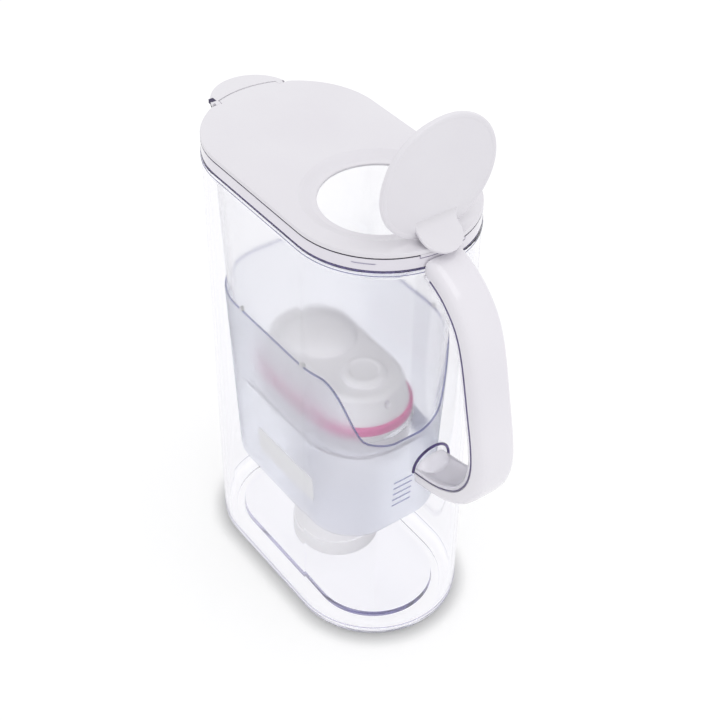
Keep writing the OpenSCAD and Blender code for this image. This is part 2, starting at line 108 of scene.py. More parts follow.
def half_w(z):
    return 42 + (z - TAPER_Z) * WIDTH_SLOPE


def corner(z):
    return 30 + (z - TAPER_Z) * CORNER_SLOPE


# Shape helpers
def plan(length, width, radius, z, arc=ARC):
    """Ring of a rounded rectangle: half length, half width, corner radius, level."""
    points = []
    for q, (sx, sy) in enumerate([(1, 1), (-1, 1), (-1, -1), (1, -1)]):
        for k in range(arc + 1):
            a = math.radians(90 * (q + k / arc))
            x = sx * (length - radius) + radius * math.cos(a)
            y = sy * (width - radius) + radius * math.sin(a)
            points.append((x, y, z))
    return points


def oval(r, z, straight=STRAIGHT):
    return plan(straight + r, r, r, z)


def circle(x, r, z):
    return [(x + p[0], p[1], p[2]) for p in plan(r, r, r, z)]


def ovals(rows, straight=STRAIGHT):
    """Ovals from rows of (radius, level)."""
    return [oval(r, z, straight) for r, z in rows]


def circles(x, rows):
    """Circles about one axis, from rows of (radius, level)."""
    return [circle(x, r, z) for r, z in rows]


def upright(x, z, r, y, step):
    """Circle in the XZ plane, with a point at every step of so many degrees."""
    points = []
    for degrees in range(0, 360, step):
        a = math.radians(degrees)
        points.append((x + r * math.cos(a), y, z + r * math.sin(a)))
    return points


def taper(margin, z):
    """Ring of the hopper's plan at a level, grown by a margin."""
    return plan(half_len(z) + margin, half_w(z) + margin, corner(z) + margin, z)


def tapers(rows):
    """Rings of the hopper's plan from rows of (margin, level)."""
    return [taper(margin, z) for margin, z in rows]


def turn(cx, cz, r, start, end, steps=6):
    """Arc in a section: list of (distance, level)."""
    out = []
    for k in range(steps + 1):
        a = math.radians(start + (end - start) * k / steps)
        out.append((cx + r * math.cos(a), cz + r * math.sin(a)))
    return out


def loft(rings, closed=False):
    """Skin over rings of equal length; open ends are capped."""
    n = len(rings[0])
    verts = [p for ring in rings for p in ring]
    faces = []
    last = len(rings) if closed else len(rings) - 1
    for i in range(last):
        a, b = i * n, (i + 1) % len(rings) * n
        for k in range(n):
            m = (k + 1) % n
            faces.append((a + k, a + m, b + m, b + k))
    if not closed:
        faces.append(tuple(reversed(range(n))))
        faces.append(tuple(range(len(verts) - n, len(verts))))
    return verts, faces


def bead(line, r, away, closed=False, count=8):
    """Round bead along a line of points; away is a direction that the line never follows."""
    line = [Vector(p) for p in line]
    line = [p for i, p in enumerate(line) if i == 0 or (p - line[i - 1]).length > 0.05]
    last = len(line) - 1
    rings = []
    for i, p in enumerate(line):
        before = line[i - 1] if i or closed else p
        after = line[(i + 1) % len(line)] if i < last or closed else p
        ahead = (after - before).normalized()
        side = ahead.cross(Vector(away)).normalized()
        over = side.cross(ahead)
        ring = []
        for k in range(count):
            a = 2 * math.pi * k / count
            ring.append(tuple(p + side * r * math.cos(a) + over * r * math.sin(a)))
        rings.append(ring)
    return loft(rings, closed)


def band(r0, r1, z0, z1, edge=0.12):
    """Flat ring between two radii of the lid's oval."""
    rows = [(r0, z0), (r1 - edge, z0), (r1, z0 + edge), (r1, z1 - edge), (r1 - edge, z1), (r0, z1)]
    return loft(ovals(rows), closed=True)


def oval_block(r, z0, z1):
    """Solid on the lid's oval between two levels."""
    return loft(ovals([(r, z0), (r, z1)]))


def extrude_y(outline, y0, y1):
    """Outline in the XZ plane, given thickness along Y."""
    return loft([[(x, y, z) for x, z in outline] for y in (y0, y1)])


def box_shape(x0, x1, y0, y1, z0, z1):
    return extrude_y([(x0, z0), (x1, z0), (x1, z1), (x0, z1)], y0, y1)


def to_object(name, shape):
    verts, faces = shape
    mesh = bpy.data.meshes.new(name)
    mesh.from_pydata([Vector(v) * MM for v in verts], [], faces)
    bm = bmesh.new()
    bm.from_mesh(mesh)
    bmesh.ops.remove_doubles(bm, verts=bm.verts, dist=1e-6)
    bmesh.ops.dissolve_degenerate(bm, edges=bm.edges, dist=1e-7)
    bmesh.ops.recalc_face_normals(bm, faces=bm.faces)
    bm.to_mesh(mesh)
    bm.free()
    obj = bpy.data.objects.new(name, mesh)
    bpy.context.scene.collection.objects.link(obj)
    return obj


def apply_modifiers(obj):
    """Puts the result of the object's modifiers into its mesh."""
    bpy.context.view_layer.update()
    graph = bpy.context.evaluated_depsgraph_get()
    made = bpy.data.meshes.new_from_object(obj.evaluated_get(graph))
    old = obj.data
    obj.modifiers.clear()
    obj.data = made
    bpy.data.meshes.remove(old)


def use_tool(obj, how, tool):
    """Combines an object with a tool object, which is used up."""
    step = obj.modifiers.new("combine", "BOOLEAN")
    step.operation = how
    step.solver = "EXACT"
    step.object = tool
    apply_modifiers(obj)
    mesh = tool.data
    bpy.data.objects.remove(tool)
    bpy.data.meshes.remove(mesh)


def combine(obj, how, *shapes):
    """Adds shapes to an object, cuts them from it or keeps what they share."""
    for shape in shapes:
        use_tool(obj, how, to_object("tool", shape))


def join_into(obj, other):
    use_tool(obj, "UNION", other)


def swing(shape):
    """Turns a shape from the flip lid's closed place to its open one."""
    hinge = Vector((HINGE[0], 0, HINGE[1]))
    turned = Matrix.Rotation(math.radians(OPEN_ANGLE), 3, "Y")
    return [tuple(hinge + turned @ (Vector(v) - hinge)) for v in shape[0]], shape[1]


def finish_piece(obj, material, body, slot, replaces=(), bevel=0.0, angle=35, segments=2):
    """Smooths, bevels, paints and hangs a piece on its body."""
    mesh = obj.data
    mesh.polygons.foreach_set("use_smooth", [True] * len(mesh.polygons))
    if bevel:
        edge = obj.modifiers.new("edges", "BEVEL")
        edge.width = bevel * MM
        edge.segments = segments
        edge.limit_method = "ANGLE"
        edge.angle_limit = math.radians(angle)
        apply_modifiers(obj)
        mesh = obj.data
    mesh.set_sharp_from_angle(angle=math.radians(angle))
    weighted = obj.modifiers.new("normals", "WEIGHTED_NORMAL")
    weighted.keep_sharp = True
    weighted.weight = 60
    mesh.materials.clear()
    mesh.materials.append(material)
    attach(obj, body)
    if replaces:
        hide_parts(*replaces)
    return obj


def piece(name, shape, material, body, slot, **more):
    return finish_piece(to_object(name, shape), material, body, slot, **more)


# Materials
def node_material(name):
    mat = bpy.data.materials.new(name)
    mat.use_nodes = True
    nodes = mat.node_tree.nodes
    return mat, nodes, mat.node_tree.links, nodes["Principled BSDF"]


def add_noise(nodes, links, scale, detail=4.0, stretch=(1, 1, 1)):
    where = nodes.new("ShaderNodeTexCoord")
    place = nodes.new("ShaderNodeMapping")
    place.inputs["Scale"].default_value = stretch
    noise = nodes.new("ShaderNodeTexNoise")
    noise.inputs["Scale"].default_value = scale
    noise.inputs["Detail"].default_value = detail
    links.new(where.outputs["Object"], place.inputs["Vector"])
    links.new(place.outputs["Vector"], noise.inputs["Vector"])
    return noise.outputs["Fac"]


def add_bump(nodes, links, shader, height, strength, distance):
    bump = nodes.new("ShaderNodeBump")
    bump.inputs["Strength"].default_value = strength
    bump.inputs["Distance"].default_value = distance
    links.new(height, bump.inputs["Height"])
    links.new(bump.outputs["Normal"], shader.inputs["Normal"])


def add_range(nodes, links, value, low, high):
    spread = nodes.new("ShaderNodeMapRange")
    spread.inputs["From Min"].default_value = 0.3
    spread.inputs["From Max"].default_value = 0.7
    spread.inputs["To Min"].default_value = low
    spread.inputs["To Max"].default_value = high
    links.new(value, spread.inputs["Value"])
    return spread.outputs["Result"]


def add_colours(nodes, links, value, low, high):
    ramp = nodes.new("ShaderNodeValToRGB")
    ramp.color_ramp.elements[0].position = 0.35
    ramp.color_ramp.elements[1].position = 0.65
    ramp.color_ramp.elements[0].color = (*low, 1)
    ramp.color_ramp.elements[1].color = (*high, 1)
    links.new(value, ramp.inputs["Fac"])
    return ramp.outputs["Color"]


def moulded(name, low, high, rough=(0.3, 0.4), grain=900.0, depth=0.00002, coat=0.0):
    """Opaque moulded plastic with a faint grain and uneven gloss."""
    mat, nodes, links, shader = node_material(name)
    broad = add_noise(nodes, links, 14.0)
    fine = add_noise(nodes, links, grain, 2.0)
    links.new(add_colours(nodes, links, broad, low, high), shader.inputs["Base Color"])
    links.new(add_range(nodes, links, fine, *rough), shader.inputs["Roughness"])
    add_bump(nodes, links, shader, fine, 0.25, depth)
    shader.inputs["IOR"].default_value = 1.49
    shader.inputs["Coat Weight"].default_value = coat
    shader.inputs["Coat Roughness"].default_value = 0.08
    return mat


def clear(name, tint, rough, absorb, density, bend=1.42, milk=0.0, wave=0.00002):
    """Clear plastic: refracting, with a tint that deepens along the path."""
    mat, nodes, links, shader = node_material(name)
    wavy = add_noise(nodes, links, 22.0, 1.0, (1, 1, 0.4))
    shader.inputs["Base Color"].default_value = (*tint, 1)
    shader.inputs["Transmission Weight"].default_value = 1 - milk
    shader.inputs["IOR"].default_value = bend
    links.new(add_range(nodes, links, wavy, *rough), shader.inputs["Roughness"])
    add_bump(nodes, links, shader, wavy, 0.2, wave)
    depth = nodes.new("ShaderNodeVolumeAbsorption")
    depth.inputs["Color"].default_value = (*absorb, 1)
    depth.inputs["Density"].default_value = density
    links.new(depth.outputs["Volume"], nodes["Material Output"].inputs["Volume"])
    return mat


CLEAR = clear("clear_plastic", (0.999, 0.9985, 1.0), (0.0, 0.01), (0.62, 0.6, 0.8), 21.0, 1.45)
CLEAR_HANDLE = clear("clear_handle", (0.94, 0.93, 0.965), (0.1, 0.15), (0.6, 0.56, 0.85), 8.0, 1.12, 0.5)
CLEAR_HOPPER = clear("clear_hopper", (0.998, 0.998, 1.0), (0.14, 0.18), (0.6, 0.6, 0.9), 3.0, 1.15)
FROSTED = clear("frosted_plastic", (0.975, 0.982, 1.0), (0.72, 0.82), (0.56, 0.64, 0.97), 14.0, 1.1, 0.02)
# Painted shade: tinted materials for thin dark lines that stand for the shading and reflections at edges and in
# gaps
SHADE_LINE_BLUE = clear("line_blue", (0.30, 0.31, 0.55), (0.1, 0.15), (0.5, 0.5, 0.8), 4.0)
SHADE_LINE_PURPLE = clear("line_purple", (0.2, 0.17, 0.33), (0.1, 0.2), (0.5, 0.5, 0.8), 4.0)
SHADE_LINE_SOFT = clear("line_soft", (0.55, 0.53, 0.7), (0.1, 0.2), (0.5, 0.5, 0.8), 4.0)
SHADE_LINE_DARK = clear("line_dark", (0.12, 0.085, 0.24), (0.1, 0.2), (0.5, 0.5, 0.8), 4.0)
WHITE = moulded("white_plastic", (0.755, 0.735, 0.775), (0.78, 0.765, 0.80), depth=0.000006, coat=0.15)
GRIP_WHITE = moulded("grip_plastic", (0.785, 0.765, 0.81), (0.81, 0.79, 0.83), (0.16, 0.2), depth=0.000003,
                     coat=0.4)
COLLAR = moulded("collar_plastic", (0.75, 0.725, 0.785), (0.79, 0.765, 0.82), (0.12, 0.18), depth=0.000003,
                 coat=0.5)
CARTRIDGE = moulded("cartridge_plastic", (0.95, 0.94, 0.965), (0.97, 0.96, 0.98), (0.4, 0.5))
SEAL = moulded("seal_rubber", (0.80, 0.20, 0.44), (0.86, 0.26, 0.50), (0.45, 0.55))
LABEL = moulded("label_plastic", (0.95, 0.95, 0.96), (0.97, 0.97, 0.98), (0.4, 0.5))
# Painted shade for the gap under the pour flap's corner
PAINTED_GAP_SHADE = moulded("socket_dark", (0.03, 0.025, 0.06), (0.05, 0.04, 0.09), (0.6, 0.7))
SCREEN = moulded("screen_plastic", (0.62, 0.62, 0.66), (0.8, 0.8, 0.83), (0.5, 0.6), 1400.0, 0.0002)
CARBON = moulded("carbon_grains", (0.01, 0.01, 0.012), (0.05, 0.05, 0.055), (0.5, 0.8), 700.0, 0.0008)
RESIN = moulded("resin_grains", (0.42, 0.27, 0.1), (0.62, 0.44, 0.2), (0.3, 0.5), 800.0, 0.0008)


def pin_steel():
    mat, nodes, links, shader = node_material("pin_steel")
    brushed = add_noise(nodes, links, 300.0, 3.0, (1, 0.05, 1))
    shader.inputs["Metallic"].default_value = 1.0
    grey = add_colours(nodes, links, brushed, (0.5, 0.5, 0.52), (0.68, 0.68, 0.7))
    links.new(grey, shader.inputs["Base Color"])
    links.new(add_range(nodes, links, brushed, 0.2, 0.35), shader.inputs["Roughness"])
    return mat


STEEL = pin_steel()


def paint_node(name, material):
    node = frame["nodes"][name]
    node.data.materials.clear()
    node.data.materials.append(material)


# Handle line, jug side first, in the XZ plane
REACH = 146.7
HANDLE_LOW = 131.0
HANDLE_TOP = 289.0
BAR = [
    (86.7, HANDLE_TOP + 1.5), (95.7, HANDLE_TOP - 1), (106.7, HANDLE_TOP - 6),
    (REACH - 30, HANDLE_TOP - 13.5), (REACH - 20.5, HANDLE_TOP - 25), (REACH - 13.5, HANDLE_TOP - 42),
    (REACH - 6.5, HANDLE_TOP - 71), (REACH - 1.2, HANDLE_TOP - 95), (REACH, HANDLE_LOW + 46),
    (REACH - 4, HANDLE_LOW + 30), (REACH - 14, HANDLE_LOW + 16), (REACH - 29, HANDLE_LOW + 6.5),
    (102.7, HANDLE_LOW + 1.8), (86.7, HANDLE_LOW - 1),
]
BAR_STEPS = 8


def spline(points, steps):
    """Smooth line through the points, with so many steps between two of them."""
    out = []
    for i in range(len(points) - 1):
        corners = (points[max(i - 1, 0)], points[i], points[i + 1], points[min(i + 2, len(points) - 1)])
        for k in range(steps):
            t = k / steps
            point = []
            for p, q, r, s in zip(*corners):
                bend = (2 * p - 5 * q + 4 * r - s) * t * t
                point.append(0.5 * (2 * q + (r - p) * t + bend + (3 * q - p - 3 * r + s) * t ** 3))
            out.append(tuple(point))
    return out + [points[-1]]


BAR_LINE = spline(BAR, BAR_STEPS)


def inward(i):
    a, b = BAR_LINE[max(i - 1, 0)], BAR_LINE[min(i + 1, len(BAR_LINE) - 1)]
    d = Vector((b[0] - a[0], b[1] - a[1])).normalized()
    return Vector((d[1], -d[0]))


def sweep(section):
    """Section of (depth, y) carried along the handle line."""
    rings = []
    for i, p in enumerate(BAR_LINE):
        n = inward(i)
        rings.append([(p[0] + n[0] * d, y, p[1] + n[1] * d) for d, y in section])
    return loft(rings)


# Jug, spout and the clear lining of the handle
def jug_outside():
    p = [(30, 0.9), (42.5, 0.9), (43.6, 0.5), (44.2, 0)] + turn(47, 6, 6, -90, 0, 8)
    p += [(53, 20), (53, 150), (53, 278.8), (53.3, 279.5), (53.35, 280), (53.35, 282.2), (53.1, 282.9)]
    return p


def jug_inside():
    p = [(50.9, 290), (50.9, 282.9), (50.5, 282.3), (50.5, 150), (50.5, 20)]
    p += turn(45.75, 7.95, 4.75, 0, -90, 8)
    p += turn(39.3, 4.4, 1.2, -90, -170, 5) + turn(36.4, 6.1, 1.4, 10, 90, 6) + [(30, 7.5)]
    return p


def spout_shape(margin, top):
    """Half bowl that runs down into the wall; a margin makes it smaller, to hollow it."""
    rings = []
    for k in range(SPOUT_STEPS + 1):
        t = k / SPOUT_STEPS
        ease = t * t * (1.6 - 0.6 * t)
        drop = 3 + 35 * t
        rings.append(circle(SPOUT_X + 14.6 * ease, SPOUT_R - margin - 12.5 * ease, JUG_H - drop))
    return loft([circle(SPOUT_X, SPOUT_R - margin, top)] + rings)


jug = to_object("jug_shell", loft(ovals(jug_outside())))
spout = to_object("spout", spout_shape(0, 291.2))
combine(spout, "DIFFERENCE", oval_block(53.6, 283, 300), oval_block(51.5, 200, 290))

LINING = [
    (3.0, -8.0), (4.0, -9.2), (9.3, -9.2), (9.3, -11.5), (9.7, -11.8), (11.6, -11.8), (12, -11.4),
    (12, -9.6), (11.2, -8.4), (10.4, -5), (10.1, 0), (10.4, 5), (11.2, 8.4), (12, 9.6),
    (12, 11.4), (11.6, 11.8), (9.7, 11.8), (9.3, 11.5), (9.3, 9.2), (4.0, 9.2), (3.0, 8.0),
]


# Root of the handle: distance along X, half width and rise of the arch
ROOT = [(93.2, 11.9, 13.6), (95, 11.6, 10.4), (98, 11.2, 6.8), (102, 10.8, 4.2), (107, 10, 2.2), (113, 8, 0.4)]


def root_shape():
    """Arched root of the handle, lower towards the bar; its first ring reaches into the jug's wall."""
    rings = []
    for x, half, rise in ROOT:
        arch_x = x - 4 if x < 94 else x
        ring = []
        for degrees in range(-90, 91, 10):
            a = math.radians(degrees)
            ring.append((arch_x, half * math.sin(a), 138.2 + rise * math.cos(a)))
        rings.append(ring + [(x, half * 0.8, 134.6), (x, -half * 0.8, 134.6)])
    return loft(rings)


lining = to_object("handle_lining", sweep(LINING))
join_into(lining, to_object("handle_root", root_shape()))
combine(lining, "DIFFERENCE", oval_block(53.04, 100, 279.2), oval_block(54.2, 279, 300))
finish_piece(lining, CLEAR_HANDLE, "jug", "clear_plastic", replaces=("handle_frame",), angle=50)

join_into(jug, spout)
combine(jug, "DIFFERENCE", loft(ovals(jug_inside())), spout_shape(2.2, 295))
finish_piece(jug, CLEAR, "jug", "clear_plastic", replaces=("jug",), angle=40)



def end_wall(y, out=0.0):
    """How far the round end of the jug reaches along X at a distance y from the middle."""
    return STRAIGHT + math.sqrt((END_R + out) ** 2 - y * y)


def side_name(side):
    return "left" if side > 0 else "right"


# Thin beads are painted shade: dark lines that stand for the shading and reflections at the edges of thick
# clear plastic
for side in (1, -1):
    edge = []
    for i, p in enumerate(BAR_LINE):
        n = inward(i)
        edge.append((p[0] + n[0] * 9.5, side * 11.75, p[1] + n[1] * 9.5))
    edge = [p for p in edge if p[0] > end_wall(p[1]) + 0.6 and p[2] < 278]
    piece(f"handle_edge_{side_name(side)}", bead(edge, 0.4, (0, 1, 0)), SHADE_LINE_PURPLE, "jug", "clear_plastic",
          angle=80)
arch = []
for a in range(-90, 91, 10):
    y = 12.7 * math.sin(math.radians(a))
    arch.append((end_wall(y, 0.4), y, 140.5 + 14.8 * math.cos(math.radians(a))))
piece("handle_arch", bead(arch, 0.85, (1, 0, 0)), SHADE_LINE_DARK, "jug", "clear_plastic", angle=80)

# White grip round the clear bar
GRIP = [
    (9.0, -9.4), (9.0, -11.3), (8.5, -11.9), (6.5, -12.0), (4.4, -11.95), (2.6, -11.5), (1.3, -10.5),
    (0.45, -8.9), (0.12, -6), (0, 0), (0.12, 6), (0.45, 8.9), (1.3, 10.5), (2.6, 11.5), (4.4, 11.95),
    (6.5, 12.0), (8.5, 11.9), (9.0, 11.3), (9.0, 9.4), (4.0, 9.4), (2.8, 8.2), (2.8, -8.2), (4.0, -9.4),
]
grip = to_object("handle_grip_shell", sweep(GRIP))
combine(grip, "DIFFERENCE", oval_block(54.0, 100, 300))
finish_piece(grip, GRIP_WHITE, "jug", "white_plastic", replaces=("handle_grip",), angle=40)


# Hopper: bowl, deck and collar in one clear moulding
def hopper_shape():
    """Closed section: up the inside of the well and the bowl, over the collar, and down the outside."""
    rings = ovals([(WELL_R + 0.3, 124), (WELL_R, 124.5), (WELL_R, 136.5), (WELL_R + 0.5, 137)], SEAL_HALF)
    rings += tapers([(-6.5, 137), (-4.4, 137.5), (-3.3, 139), (-3, 141), (-3, 180), (-3, 230), (-3, 283),
                     (-2.8, 284.6), (-2.2, 285.2)])
    rings += ovals([(49.9, 285.2), (50.4, 285.5), (50.5, 286), (50.5, 291), (50.9, 291.4), (52.5, 291.45),
                    (53, 291), (53, 283.6), (52.6, 283.1), (51.2, 283.1), (50.3, 282.9)])
    rings += tapers([(-0.6, 282.9), (-1, 282.2), (-1, 230), (-1, 180), (-1, 139), (-1.5, 136.6), (-2.9, 135),
                     (-5, 134.5)])
    rings += ovals([(31.6, 134.5), (31.1, 134), (31.1, 124.6), (30.6, 124)], SEAL_HALF)
    return loft(rings, closed=True)


hopper = to_object("hopper_moulding", hopper_shape())
combine(hopper, "DIFFERENCE", box_shape(-120, -half_len(JUG_H) - 1, -21.5, 21.5, 281, 300),
        box_shape(60, 120, -14.3, 14.3, 289.7, 300))
finish_piece(hopper, CLEAR_HOPPER, "hopper", "clear_plastic", replaces=("hopper",), angle=40)

piece("collar_band", band(52.2, 53.06, 284.3, 291.2), COLLAR, "hopper", "frosted_plastic", angle=40)
# Painted shade: thin dark bands below the collar, at the jug's rim and near its foot stand for the shading and
# reflections the clear plastic shows there
piece("collar_line", band(52.2, 53.25, 283.3, 284.1), SHADE_LINE_PURPLE, "hopper", "clear_plastic", angle=40)
piece("rim_line", band(53.1, 53.46, 280.9, 281.25, 0.05), SHADE_LINE_BLUE, "jug", "clear_plastic", angle=40)
piece("foot_line", band(52.8, 53.07, 8.2, 8.75, 0.05), SHADE_LINE_SOFT, "jug", "clear_plastic", angle=40)


# Jacket: a frosted shell whose rim dips in a scoop at the handle end
def rim_level(x, y):
    if x < 0:
        return JACKET_RIM
    t = max(0.0, min(1.0, (abs(y) - SCOOP_FLAT) / (SCOOP_HALF - SCOOP_FLAT)))
    dish = SCOOP_DISH * min(abs(y), SCOOP_HALF) ** 2
    full = JACKET_RIM - SCOOP_LOW - SCOOP_DISH * SCOOP_HALF ** 2
    return SCOOP_LOW + dish + full * t * t * (3 - 2 * t)


RIM_TRIES = 6


def jacket_ring(margin, share, low):
    """Ring at a share of the way from a low level up to the rim, which each point finds for itself."""
    points = []
    for i in range(len(taper(margin, low))):
        z = JACKET_RIM
        for _ in range(RIM_TRIES):
            p = taper(margin, z)[i]
            z = rim_level(p[0], p[1])
        level = low + (z - low) * share
        points.append(taper(margin, level)[i])
    return points


def jacket_shape():
    m_out, m_in, low = JACKET_HALF, -JACKET_HALF, JACKET_LOW
    rings = circles(0, [(28.5, low + 2), (28, low + 1.6), (28, low + 0.4), (28.4, low)])
    rings += [taper(m_out - 5, low)]
    rings += [taper(m_out - 5 + d, z) for d, z in turn(0, low + 5, 5, -70, 0, 5)]
    rings += [jacket_ring(m_out, s, low + 5) for s in (0.2, 0.4, 0.6, 0.8, 0.93, 0.995)]
    rings += [jacket_ring(m_out - 0.4, 1.0, low + 5), jacket_ring(m_in + 0.4, 1.0, low + 5)]
    rings += [jacket_ring(m_in, s, low + 6) for s in (0.995, 0.93, 0.8, 0.6, 0.4, 0.2)]
    rings += [taper(m_in - 4 + d, z) for d, z in turn(0, low + 6, 4, 0, -70, 4)]
    rings += [taper(m_in - 4.3, low + 2)]
    return loft(rings, closed=True)


jacket = to_object("jacket_shell", jacket_shape())
for k in range(VENT_COUNT):
    low = JACKET_LOW + 21 + 5 * k
    at = half_len(low) + JACKET_HALF
    combine(jacket, "DIFFERENCE", box_shape(55, 80, -VENT_HALF, VENT_HALF, low, low + 1.2))
    # A blue strip at each vent's lower edge is a painted shade line
    shade_strip = box_shape(at - 0.3, at + 0.12, -VENT_HALF, VENT_HALF, low - 0.35, low + 0.1)
    piece(f"vent_lip_{k}", shade_strip, SHADE_LINE_BLUE, "hopper", "frosted_plastic", angle=40)
finish_piece(jacket, FROSTED, "hopper", "frosted_plastic", replaces=("jacket",), angle=40)

# A blue bead along the jacket's rim is a painted edge line, for the shade and reflection at the frosted rim
rim_shade_line = bead(jacket_ring(0.0, 1.0, JACKET_LOW + 5), 0.62, (0, 0, 1), True)
piece("jacket_rim_bead", rim_shade_line, SHADE_LINE_BLUE, "hopper", "frosted_plastic", angle=80)

# Pegs at the jacket's rim
for side in (1, -1):
    for x in (-27, 34):
        y0 = half_w(JACKET_RIM) - 0.75
        rings = [upright(x, JACKET_RIM + 1.6, r, side * (y0 + d), 20)
                 for r, d in ((0.05, 2.1), (1.1, 2.05), (1.55, 1.6), (1.6, 0))]
        name = f"peg_{side_name(side)}_{'back' if x < 0 else 'front'}"
        peg = piece(name, loft(rings), LABEL, "hopper", "white_plastic")
        if side > 0 and x < 0:
            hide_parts("jacket_pegs")

# Blank label plates with a raised edge
for side in (1, -1):
    face_y = half_w(JACKET_LOW + 33) + JACKET_HALF
    rings = []
    for grow, out in ((0, 0.0), (0, 0.35), (-0.4, 0.5), (-1.4, 0.5), (-1.7, 0.3)):
        rings.append([(10 + p[0], side * (face_y + out + WIDTH_SLOPE * p[1]), 101 + p[1])
                      for p in plan(28.5 + grow, 9.5 + grow, max(2.5 + grow, 0.6), 0, 5)])
    plate = piece(f"label_{side_name(side)}", loft(rings), LABEL, "hopper", "white_plastic")
    if side > 0:
        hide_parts("jacket_label")


# Lid plate with its dished fill hole
def lid_shape():
    """Closed section: up the rim of the plate, across its top, down the dish to the seat, and back below."""
    rings = ovals([(52.6, COLLAR_TOP + 0.2), (53, COLLAR_TOP + 0.6), (53, LID_TOP - 0.7), (52.8, LID_TOP - 0.2),
                   (52.3, LID_TOP)])
    rings += circles(HOLE_X, [
        (SEAT_R + 6.9, LID_TOP), (SEAT_R + 6.2, LID_TOP - 0.15), (SEAT_R + 5.6, LID_TOP - 0.5),
        (SEAT_R + 0.6, 291.8), (SEAT_R, 291.5), (HOLE_R + 0.5, 291.5), (HOLE_R, 291.1), (HOLE_R, 290.1),
        (HOLE_R + 0.4, 289.7), (SEAT_R + 1.2, 289.7), (SEAT_R + 1.6, 290.1), (SEAT_R + 1.6, COLLAR_TOP),
    ])
    return loft(rings, closed=True)


lid = to_object("lid_plate", lid_shape())
skirt_rows = [(50, 291.6), (50, 287), (49.7, 286.5), (48.7, 286.5), (48.4, 287), (48.4, 291.6)]
skirt = to_object("skirt", loft(ovals(skirt_rows), closed=True))
combine(skirt, "DIFFERENCE", box_shape(-120, 8 - half_len(JUG_H), -33.5, 33.5, 280, 300))
join_into(lid, skirt)
step_tab = to_object("step_tab", oval_block(53, 290.2, 291.8))
combine(step_tab, "INTERSECT", box_shape(82.7, 120, -14, 14, 280, 300))
join_into(lid, step_tab)
for side in (1, -1):
    y0, y1 = sorted((side * 8.5, side * 12.5))
    ear = to_object("ear", box_shape(HINGE[0] - 3.2, HINGE[0] + 3.2, y0, y1, HINGE[1] - 3.2, LID_TOP - 1))
    join_into(lid, ear)
pin_hole = loft([upright(*HINGE, 1.52, y, 15) for y in (-14, 14)])
combine(lid, "DIFFERENCE", box_shape(70.4, 85.6, -8.5, 8.5, 280, 300), pin_hole,
        box_shape(-120, -85.4, 19.2, 80, 291.4, 300), box_shape(-120, -85.4, -80, -19.2, 291.4, 300))
finish_piece(lid, WHITE, "lid", "white_plastic", replaces=("lid",), angle=30)

# Painted shade lines: in the gap under the lid, at its step below the flip lid's arm, and a line where the
# collar has a shallow slot
piece("lid_seam", band(51.8, 52.9, 291.22, 291.6), SHADE_LINE_DARK, "lid", "white_plastic", angle=40)
STEP_HALF = 14.3
tab_line = [(end_wall(y), y, 290.0) for y in (STEP_HALF * k / 8 for k in range(-8, 9))]
tab_line = [(*tab_line[0][:2], 291.3)] + tab_line + [(*tab_line[-1][:2], 291.3)]
piece("tab_seam", bead(tab_line, 0.2, (1, 0, 0)), SHADE_LINE_DARK, "lid", "white_plastic", angle=80)
slot_line = [(STRAIGHT + END_R * math.cos(math.radians(a)), END_R * math.sin(math.radians(a)), 288.4)
             for a in (-53.2, -50.5, -47.9, -45.3, -42.7, -40.0)]
piece("collar_slot", bead(slot_line, 0.28, (0, 0, 1)), SHADE_LINE_SOFT, "hopper", "frosted_plastic", angle=80)


# Flip lid, made closed and swung open
def disc_shape():
    z0, z1 = DISC_Z, DISC_Z + DISC_T
    rows = [(34.6, z0), (35.2, z0 + 0.25), (35.4, z0 + 0.8), (35.4, z1 - 0.9), (35.1, z1 - 0.3), (34.4, z1),
            (33.2, z1), (32.8, z1 - 0.18), (32.3, z1 - 0.22), (30.0, z1 - 0.12)]
    return loft(circles(HOLE_X, rows))


piece("flip_disc", swing(disc_shape()), WHITE, "flip_lid", "white_plastic", replaces=("flip_lid",), angle=30)


def arm_outline():
    hx, hz = HINGE
    rim = HOLE_X + DISC_R
    top = DISC_Z + DISC_T
    points = [(rim - 3, DISC_Z + 0.3), (rim - 3, top - 0.4), (rim + 0.5, top - 0.1), (rim + 3.2, top - 0.9)]
    points += turn(hx, hz, 3.2, 62, -180, 14)
    return points


arm = swing(extrude_y(arm_outline(), -8, 8))
piece("flip_arm", arm, WHITE, "flip_lid", "white_plastic", bevel=0.35, angle=40)


